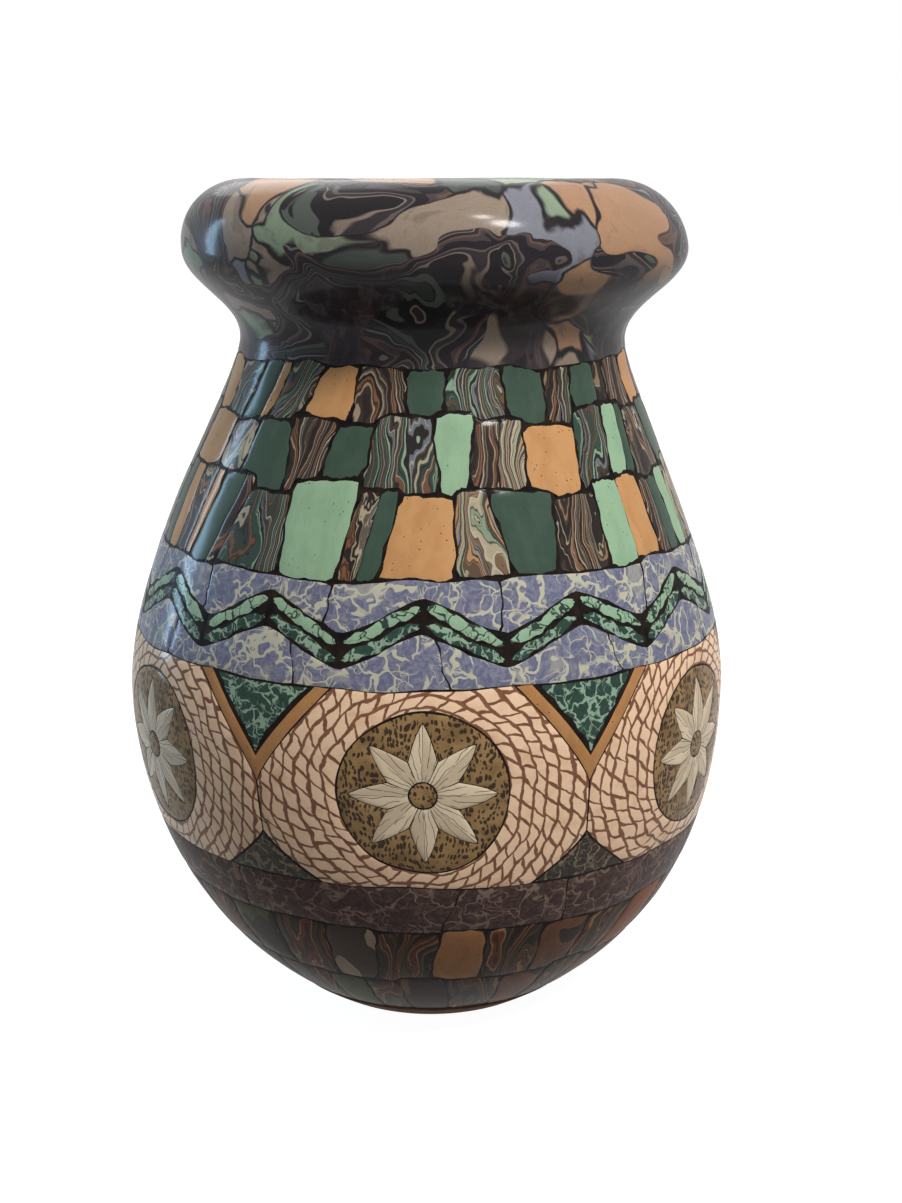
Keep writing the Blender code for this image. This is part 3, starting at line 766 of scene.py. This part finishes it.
# The spandrels: a hollow-sided wedge of dark green clay with mint veins hangs between two roundels, held in a
# strip of tan-orange by thick ragged slip, and a smaller umber wedge rises from the lower edge below it.
BORDER_WIDTH = 2.2
BORDER_SLIP, HEART_SLIP, WEDGE_SLIP = (0.14, 0.12, 0.12, 0.12), (1.1, 1.1, 0.7, 0.8), (0.45, 0.45, 0.3, 0.4)
# The border's tan-orange is a darker copy of the shoulder's orange: partly its own tan, partly painted shade
# on the belly.
tan_orange = plain_tile("tan_orange_clay", (0.44, 0.22, 0.085), (0.36, 0.17, 0.062), 0.9)
deep_green = veined("deep_green_veins", (0.02, 0.048, 0.037), (0.032, 0.066, 0.051), (0.25, 0.36, 0.27),
                    size=2.8, thick=0.065, pale=0.0)
umber = veined("umber_veins", (0.026, 0.022, 0.02), (0.05, 0.038, 0.028), (0.19, 0.15, 0.1),
               size=2.8, thick=0.05, pale=0.1)
drawn_in = upper_side + square_to(upper_side) * BORDER_WIDTH
crossing = np.argmax(drawn_in[:, 0] < 0)
before, after = drawn_in[crossing - 1], drawn_in[crossing]
tip = before + (after - before) * before[0] / (before[0] - after[0])
first, second = drawn_in[:2]
top = first + (first - second) * (BAND_HEIGHT / 2 - first[1]) / (first[1] - second[1])
inner_side = np.concatenate(([top], drawn_in[1:crossing], [tip]))
inner_side = points_at(inner_side, np.linspace(0, 1, len(inner_side)), np.linspace(0, 1, len(upper_side)))
outer_line, inner_line = (np.concatenate((side, (side * MIRRORED)[-2::-1]))
                          for side in (upper_side, inner_side))
for number in range(ROUNDELS):
    middle = middle_of(number + 0.5)
    border = patch(outer_line, inner_line, middle, BORDER_SLIP, 1, rows=6, seed=420 + number)
    fired(f"spandrel_border_{number + 1}", [border], [slip, tan_orange])
    heart = patch(inner_side, inner_side * MIRRORED, middle, HEART_SLIP, 1, rows=16, seed=440 + number)
    fired(f"spandrel_heart_{number + 1}", [heart], [slip, deep_green])
    wedge = patch(lower_side, lower_side * MIRRORED, middle, WEDGE_SLIP, 1, rows=14, seed=460 + number)
    fired(f"lower_spandrel_{number + 1}", [wedge], [slip, umber])

# The upper veined band and its pair of zigzag ribbons: strips of dark green and of mint clay, cut in short
# lengths and laid end to end at a slant through the blue-violet clay, with slip all round them.
UPPER_BAND_HEIGHT, RIBBON_HEIGHT, ZIGZAG_RISE, TEETH, TIP_ROUNDING = 16.5, 2.6, 3.0, 12, 0.03
SHOULDER_START = UPPER_BAND_START + UPPER_BAND_HEIGHT
RIBBON_MIDDLE = (UPPER_BAND_START + SHOULDER_START) / 2


def zigzag(height, seed):
    """A ribbon's edge: it rises and falls from tooth to tooth, with its tips rounded by hand."""
    uneven = uneven_ring(0, seed, 0.18)

    def edge(angle):
        share = angle * TEETH / math.tau % 1
        slope = np.sqrt((share - 0.5) ** 2 + TIP_ROUNDING**2)
        tip = np.sqrt(np.minimum(share, 1 - share) ** 2 + TIP_ROUNDING**2) - TIP_ROUNDING
        fall = np.where(np.abs(share - 0.5) < 0.25, 0.5 - slope, tip)
        return height + ZIGZAG_RISE * (1 - 4 * fall) + uneven(angle)

    return edge


periwinkle = veined("periwinkle_veins", (0.115, 0.125, 0.205), (0.215, 0.218, 0.285), (0.46, 0.45, 0.35),
                    size=4.8, thick=0.048, pale=0.4)
mint = veined("mint_veins", (0.28, 0.43, 0.29), (0.24, 0.37, 0.25), (0.03, 0.05, 0.04),
              size=3.5, thick=0.04, pale=0.0)
band_ceiling = uneven_ring(SHOULDER_START, seed=6, rise=0.7)
zigzags = [zigzag(RIBBON_MIDDLE + step * RIBBON_HEIGHT, 7 + step) for step in (-1, 0, 1)]
strips = (("below", belly_ceiling, zigzags[0]), ("above", zigzags[2], band_ceiling))
for step, (side, *edges) in enumerate(strips):
    joints = tile_joints(12, 0.3 + 0.2 * step, seed=80 + step, jitter=0.1, lean=0.04)
    strip = laid(*edges, joints, [1], columns=26, rows=10, seam=0.12, seed=82 + step)
    fired(f"veined_band_{side}_ribbons", strip, [slip, periwinkle])
ribbon_turns = [cut(math.pi * half / TEETH, 0, 0, half) for half in range(2 * TEETH)]
for step, (shade, clay) in enumerate((("dark", deep_green), ("mint", mint))):
    ribbon = laid(*zigzags[step : step + 2], ribbon_turns, [1], columns=22, rows=6, seam=0.5, seed=84 + step)
    fired(f"zigzag_ribbon_{shade}", ribbon, [slip, clay])

# The three shoulder courses: hand-cut tiles of mint, tan-orange, dark green and marbled clay, some split in
# two. They lean and vary as they were cut, and the slip between them swells where three tiles meet.
COLLAR_START, COURSE_PARTS = NECK_HEIGHT - 2.2, (5, 4, 3)
PART_HEIGHT = (COLLAR_START - SHOULDER_START) / sum(COURSE_PARTS)
SPLIT_CHANCE = 0.3
DARK_GREEN = (0.038, 0.07, 0.05), (0.054, 0.09, 0.064)

plain_tiles = [plain_tile(*recipe) for recipe in (
    ("mint_tile", (0.285, 0.44, 0.285), (0.235, 0.37, 0.235), 0.7),
    ("orange_clay", (0.54, 0.29, 0.125), (0.45, 0.225, 0.09), 0.9),
    ("dark_green_tile", *DARK_GREEN, 0.5),
    ("parted_green_tile", *DARK_GREEN, 0.5, (0.52, 0.29, 0.125)),
    ("parted_orange_tile", (0.54, 0.3, 0.13), (0.44, 0.225, 0.09), 0.7, (0.12, 0.135, 0.21)))]
streaked_tiles = [marbled_tile(*recipe) for recipe in (
    ("warm_streaks", (
        (2.4, (0.016, 0.012, 0.012)), (1.2, (0.04, 0.024, 0.018)), (0.7, (0.36, 0.27, 0.18)),
        (1, (0.09, 0.045, 0.025)), (1.2, (0.22, 0.09, 0.045)), (1.6, (0.016, 0.012, 0.012)),
        (0.9, (0.44, 0.37, 0.26)), (1, (0.13, 0.11, 0.095)), (1.8, (0.03, 0.028, 0.026)),
        (0.8, (0.26, 0.16, 0.09)), (1, (0.05, 0.035, 0.03))), 5.2, (0.42, 0.36, 0.25)),
    ("pale_streaks", (
        (1.6, (0.42, 0.36, 0.25)), (1, (0.24, 0.33, 0.22)), (0.8, (0.03, 0.045, 0.038)),
        (1.4, (0.11, 0.075, 0.05)), (1.2, (0.46, 0.26, 0.13)), (0.5, (0.02, 0.015, 0.014)),
        (1, (0.34, 0.26, 0.17)), (0.9, (0.19, 0.2, 0.25)), (0.7, (0.025, 0.02, 0.02)),
        (1.2, (0.2, 0.12, 0.07)), (1, (0.5, 0.44, 0.31))), 4.6, (0.55, 0.47, 0.31)),
    ("green_streaks", (
        (2, (0.03, 0.065, 0.05)), (0.9, (0.24, 0.38, 0.26)), (1.2, (0.015, 0.016, 0.015)),
        (1, (0.15, 0.16, 0.19)), (1.4, (0.05, 0.04, 0.03)), (0.8, (0.36, 0.33, 0.24)),
        (1.6, (0.035, 0.05, 0.045)), (1, (0.16, 0.075, 0.04))), 4.8, (0.4, 0.4, 0.3)))]
shoulder_clays = [slip, *plain_tiles[:3], *streaked_tiles, *plain_tiles[3:]]

shoulder_joints = [tile_joints(TILES, course % 2 / 2, seed=93 + course, jitter=0.045, lean=0.07)
                   for course in range(3)]
course_edges = [band_ceiling]
for course in (1, 2):
    parts = sum(COURSE_PARTS[:course])
    level = SHOULDER_START + PART_HEIGHT * parts
    course_edges.append(stepped_ring(level, 10 + parts, 1.7, shoulder_joints[course - 1]))
course_edges.append(uneven_ring(COLLAR_START, seed=13, rise=0.7))
# These mixes and seeds leave the top course without mint or pale tiles and put darker clays at the sides:
# partly the tiles' own colours, partly painted shade under the rim and towards the edges.
mixes = ((3407, (1, 2, 3, 6, 1, 7, 8, 4), (4, 5, 6, 5)), (4119, (1, 3, 2, 3, 4, 1, 7), (4, 5, 6, 4)),
         (5059, (3, 2, 3, 7, 4, 6), (4, 4, 6)))
for course, (seed, plain, streaked) in enumerate(mixes):
    order = random.Random(seed)
    joints, kinds, cuts, fine, last = shoulder_joints[course], [], [], [], 0
    for tile in range(TILES):
        last = order.choice([kind for kind in (streaked if tile % 2 else plain) if kind != last])
        kinds.append(last)
        cuts.append(joints[tile])
        if order.random() < SPLIT_CHANCE:
            part_of = order.choice((0.3, 0.5, 0.68))
            ends = (joints[tile], joints[(tile + 1) % TILES], math.tau if tile == TILES - 1 else 0)
            fine.append(len(cuts))
            cuts.append(lambda share, ends=ends, part=part_of:
                        ends[0](share) * (1 - part) + (ends[1](share) + ends[2]) * part)
            kinds.append(order.choice([kind for kind in (2, 3, 4, 5, 6) if kind != last]))
    tiles = laid(*course_edges[course : course + 2], cuts, kinds,
                 columns=12, rows=13, seam=0.3, seed=96 + course, fine=fine)
    fired(f"shoulder_tile_course_{course + 1}", tiles, shoulder_clays)

# The collar and the rim: thick coils of the clays left over, kneaded into one another, pressed on and turned
# out. The hand that smoothed them pulled the colours into long smears, from the cove below up over the roll.
COLLAR_HEIGHT = 7.8
COLLAR_TOP = COLLAR_START + COLLAR_HEIGHT
THROAT_RADIUS, THROAT_TOP, CREST_RADIUS = NECK_RADIUS - WALL, 144.5, 32.5
RIM_STEPS, WORN_PART = 240, 0.8

marble = Clay("smeared_marble")
spot = marble.place()
_, _, height = marble.apart(spot)
pulled = marble.stirred(spot * (1, 1, 1.45) + (80, 200, 160), 28.0, 46.0, 1.0)
pulled = marble.stirred(pulled, 9.0, 8.0, 1.0)
lump, _, _ = marble.apart(marble.crumbs(pulled, 21.0, out=1))
lumps = marble.ramp(lump, [
    (0.00, (0.3, 0.235, 0.18)), (0.14, (0.26, 0.34, 0.235)), (0.36, (0.06, 0.074, 0.064)),
    (0.44, (0.42, 0.245, 0.145)), (0.64, (0.25, 0.115, 0.08)), (0.75, (0.225, 0.23, 0.275)),
    (0.82, (0.23, 0.3, 0.21)), (0.9, (0.35, 0.27, 0.205))], "CONSTANT")
tint = marble.cloud(pulled * (1, 1, 0.6), 5.0, 3.0, 0.6)
lumps = marble.blend(marble.rise(tint, 0.54, 0.68) * 0.5, lumps * (0.8 + tint * 0.4), (0.12, 0.09, 0.082))
swirl = marble.cloud(pulled + (60, 10, 20), 26.0, 0.6, 0.3)
layer = marble.math("FRACT", swirl * 4.6 + marble.cloud(pulled, 9.0, 1.0) * 0.9)
streaked = marble.ramp(layer, layers_of((
    (3, (0.016, 0.012, 0.016)), (0.9, (0.115, 0.098, 0.092)), (1.6, (0.034, 0.027, 0.032)),
    (0.5, (0.23, 0.175, 0.14)), (2, (0.013, 0.011, 0.014)), (1.6, (0.085, 0.1, 0.087)),
    (0.4, (0.018, 0.018, 0.018)), (1.4, (0.045, 0.052, 0.048)), (0.6, (0.012, 0.01, 0.013)),
    (0.6, (0.19, 0.175, 0.175)), (1.8, (0.026, 0.019, 0.026)), (0.9, (0.13, 0.072, 0.058)),
    (1.2, (0.06, 0.046, 0.048)), (0.6, (0.014, 0.012, 0.014)))))
edge = marble.crumbs(pulled, 21.0, "DISTANCE_TO_EDGE") + (tint - 0.5) * 0.08
body = marble.blend(marble.rise(edge, 0.05, 0.012), lumps, (0.014, 0.012, 0.014))
kneaded = marble.math("MAXIMUM", marble.rise(swirl, 0.492, 0.499), marble.rise(lump, 0.945, 0.955))
body = marble.blend(kneaded, body, streaked)
# Painted shade in the cove below the roll: its lower part turns to near-black smoky clay, partly the clay's
# own dark aubergine and partly the rim's shadow.
cove = marble.rise(height + marble.cloud(spot, 14.0, 1.0) * 10, 142.0, 136.0)
cove = cove * marble.rise(marble.cloud(spot + (9, 4, 40), 17.0, 1.0), 0.57, 0.54)
streaks = marble.cloud(marble.stirred(spot * (1, 1, 0.25), 9.0, 9.0, 1.0), 3.2, 3.0, 0.6)
shaded = marble.ramp(streaks, [
    (0.35, (0.013, 0.011, 0.016)), (0.52, (0.027, 0.021, 0.029)), (0.62, (0.085, 0.062, 0.064)),
    (0.7, (0.027, 0.022, 0.029))])
body = marble.blend(cove * 0.93, body, shaded)
fine = marble.cloud(spot, 0.4)
body = marble.blend(fine * 0.3, body, (0.05, 0.042, 0.045))
marble.finish(body, 0.34 + fine * 0.1, marble.cloud(spot, 3.0), reach=0.00008)

ring_turns = np.linspace(0, math.tau, RIM_STEPS + 1)
collar_share = np.linspace(0, 1, 13)
collar_angle = np.repeat(ring_turns[:, None], len(collar_share), axis=1)
collar_height = course_edges[-1](collar_angle) * (1 - collar_share) + COLLAR_TOP * collar_share
collar_sunk = sunk_at(collar_share * COLLAR_HEIGHT, 0, spread=0)
collar = slab(collar_angle, collar_height, collar_sunk, 1, in_wall(collar_angle, collar_height, 0.0))
fired("neck_collar", [collar], [slip, marble])

lip_side = wall_line(np.linspace(COLLAR_TOP, LIP_HEIGHT, 16))
quarter = np.linspace(0, math.pi / 2, 19)[1:]
lip_roll = np.array([LIP_RADIUS - CREST_RADIUS, TOTAL_HEIGHT - LIP_HEIGHT])
throat_roll = np.array([CREST_RADIUS - THROAT_RADIUS, TOTAL_HEIGHT - THROAT_TOP])
over_lip = [CREST_RADIUS, LIP_HEIGHT] + lip_roll * spoke(quarter, 1)
over_throat = [CREST_RADIUS, THROAT_TOP] + throat_roll * spoke(quarter + math.pi / 2, 1)[::2]
throat_side = np.linspace((THROAT_RADIUS, THROAT_TOP), (THROAT_RADIUS, COLLAR_TOP), 10)[1:]
rim_section = np.concatenate((lip_side, over_lip, over_throat, throat_side))
rim_turns = ring_turns[:-1]
rim_reach = np.linspace(0, 1, len(rim_section))
worn = np.where(rim_reach < WORN_PART, hand_wobble(rim_turns[:, None], rim_section[:, 1]), 0.0)
rim = turned(rim_turns, rim_section - square_to(rim_section) * worn[..., None], 1)
fired("rim_roll", [rim], [slip, marble])

# The lining: ivory glaze poured in, swirled round and tipped out, which left a thin coat with fine cracks.
# It stops in a thin uneven edge where the throat turns over into the rim.
GLAZE, CLEARANCE, THINNEST, RUN_OUT, LINING_STEPS = 0.8, 0.05, 0.02, 1.6, 144
crackle = Clay("ivory_crackle")
spot = crackle.place()
cracks = crackle.rise(crackle.crumbs(crackle.stirred(spot, 3.0, 1.0), 3.2, "DISTANCE_TO_EDGE"), 0.035, 0.012)
pool = crackle.cloud(spot * (1, 1, 0.3), 11.0, 3.0)
body = crackle.ramp(pool, [(0.3, (0.5, 0.42, 0.29)), (0.55, (0.6, 0.52, 0.38)), (0.75, (0.45, 0.36, 0.23))])
body = crackle.blend(cracks * 0.55, body, (0.16, 0.1, 0.06))
crackle.finish(body, 0.22 + pool * 0.1, pool, reach=0.0002)

lining_turns = np.linspace(0, math.tau, LINING_STEPS, endpoint=False)
cup_wall = wall_line(np.linspace(BASE_HEIGHT, COLLAR_START, 44))
leans = square_out(cup_wall[:, 1])
floor_reach = cup_wall[0, 0] - leans[0, 0] * WALL
cup_skins = []
for clearance in (CLEARANCE, CLEARANCE + GLAZE):
    floor = np.array([[0, FLOOR_HEIGHT], [9, FLOOR_HEIGHT], [floor_reach - 4, FLOOR_HEIGHT],
                      [floor_reach - 2.4, FLOOR_HEIGHT - 0.3]]) + [0, clearance]
    meeting = [[radius_at(COLLAR_START) - WALL - clearance, COLLAR_START]]
    cup_skins.append(np.concatenate((floor, cup_wall - leans * (WALL + clearance), meeting)))
cup = turned(lining_turns, np.concatenate((cup_skins[0], cup_skins[1][::-1])), 0)
fired("body_glaze", [cup], [crackle])

throat_levels = np.concatenate((np.linspace(COLLAR_START, NECK_HEIGHT, 3)[:-1],
                                np.linspace(NECK_HEIGHT, THROAT_TOP, 16)))
top = THROAT_TOP - 1.2 + 0.8 * np.sin(4 * lining_turns + 1) + 0.4 * np.sin(9 * lining_turns)
top = top[:, None]
levels = COLLAR_START + (throat_levels - COLLAR_START) * (top - COLLAR_START) / (THROAT_TOP - COLLAR_START)
wall = np.where(levels < NECK_HEIGHT, radius_at(levels) - WALL, THROAT_RADIUS) - CLEARANCE
thick = np.maximum(GLAZE * np.clip((top - levels) / RUN_OUT, 0, 1) ** 0.5, THINNEST)
skins = [np.stack((radius, levels), axis=-1) for radius in (wall, wall - thick)]
throat = turned(lining_turns, np.concatenate((skins[0], skins[1][:, ::-1]), axis=1), 0)
fired("throat_glaze", [throat], [crackle])

# The studio: a pale floor that keeps the shadow and a white surround, a soft key lamp at the right, a tall
# narrow blue-white window at the left, a small lamp above that catches the lip, and a broad fill high behind.
FLOOR_REACH, PAPER_GLOW, SURROUND_LIGHT = 6.0, 0.965, 0.24
WARM_WHITE = (1.0, 0.98, 0.95)
floor_mesh = bpy.data.meshes.new("studio_floor")
floor_corners = [(x * FLOOR_REACH, y * FLOOR_REACH, 0) for x, y in ((-1, -1), (1, -1), (1, 1), (-1, 1))]
floor_mesh.from_pydata(floor_corners, [], [(0, 1, 2, 3)])
placed("studio_floor", floor_mesh)


def seen_directly(recipe):
    """1 where a ray comes from the camera or from something that mirrors or passes it, otherwise 0."""
    rays = [recipe.add("ShaderNodeLightPath", out=f"Is {kind} Ray")
            for kind in ("Camera", "Glossy", "Transmission")]
    return recipe.math("MAXIMUM", recipe.math("MAXIMUM", rays[0], rays[1]), rays[2])


paper = Clay("pale_paper")
paper.tree.nodes.remove(paper.shader)
sheet = paper.add("ShaderNodeBsdfDiffuse", None, {"Color": (0.22, 0.22, 0.22)})
light = {"Color": (1.0, 1.0, 1.0), "Strength": seen_directly(paper) * PAPER_GLOW}
surface = paper.add("ShaderNodeAddShader", None, {0: sheet, 1: paper.add("ShaderNodeEmission", None, light)})
paper.plug(paper.tree.nodes["Material Output"].inputs["Surface"], surface)
floor_mesh.materials.append(paper.material)

surround = Clay("white_surround", bpy.data.worlds)
bpy.context.scene.world = surround.material
backdrop = surround.tree.nodes["Background"]
backdrop.inputs["Color"].default_value = (1, 1, 1, 1)
strength = SURROUND_LIGHT + seen_directly(surround) * (1 - SURROUND_LIGHT)
surround.plug(backdrop.inputs["Strength"], strength)


def soft_lamp(name, place, aim_height, width, height, power, colour):
    """An oval lamp that faces the vase's axis at a height, in metres."""
    lamp = bpy.data.lights.new(name, "AREA")
    lamp.shape, lamp.size, lamp.size_y, lamp.energy, lamp.color = "ELLIPSE", width, height, power, colour
    holder = placed(name, lamp)
    holder.location = place
    holder.rotation_euler = (Vector((0, 0, aim_height)) - Vector(place)).to_track_quat("-Z", "Y").to_euler()


soft_lamp("key", (0.62, -0.72, 1.15), 0.08, 0.26, 0.26, 16.4, WARM_WHITE)
soft_lamp("window", (-0.9, 0.42, 0.26), 0.07, 0.15, 0.6, 4.6, (0.45, 0.72, 1.0))
soft_lamp("overhead", (0.3, -0.45, 1.0), 0.1, 0.1, 0.1, 2.6, WARM_WHITE)
soft_lamp("back_fill", (-0.2, 1.00, 0.85), 0.07, 0.9, 0.9, 5.5, (1.0, 1.0, 1.0))

# The camera: where the photograph was taken from, level with the top of the rim and tipped down a little, so
# that the whole front of the vase is in the frame.
CAMERA_PLACE, CAMERA_PITCH, CAMERA_LENS = (0.0045, -0.3265, 0.15), math.radians(13.27), 53.87
camera_data = bpy.data.cameras.new("camera")
camera_data.sensor_width, camera_data.lens, camera_data.clip_start = 36.0, CAMERA_LENS, 0.01
camera = placed("camera", camera_data)
camera.location = CAMERA_PLACE
camera.rotation_euler = (math.pi / 2 - CAMERA_PITCH, 0, 0)
bpy.context.scene.camera = camera
bpy.context.scene.view_settings.view_transform = "Standard"
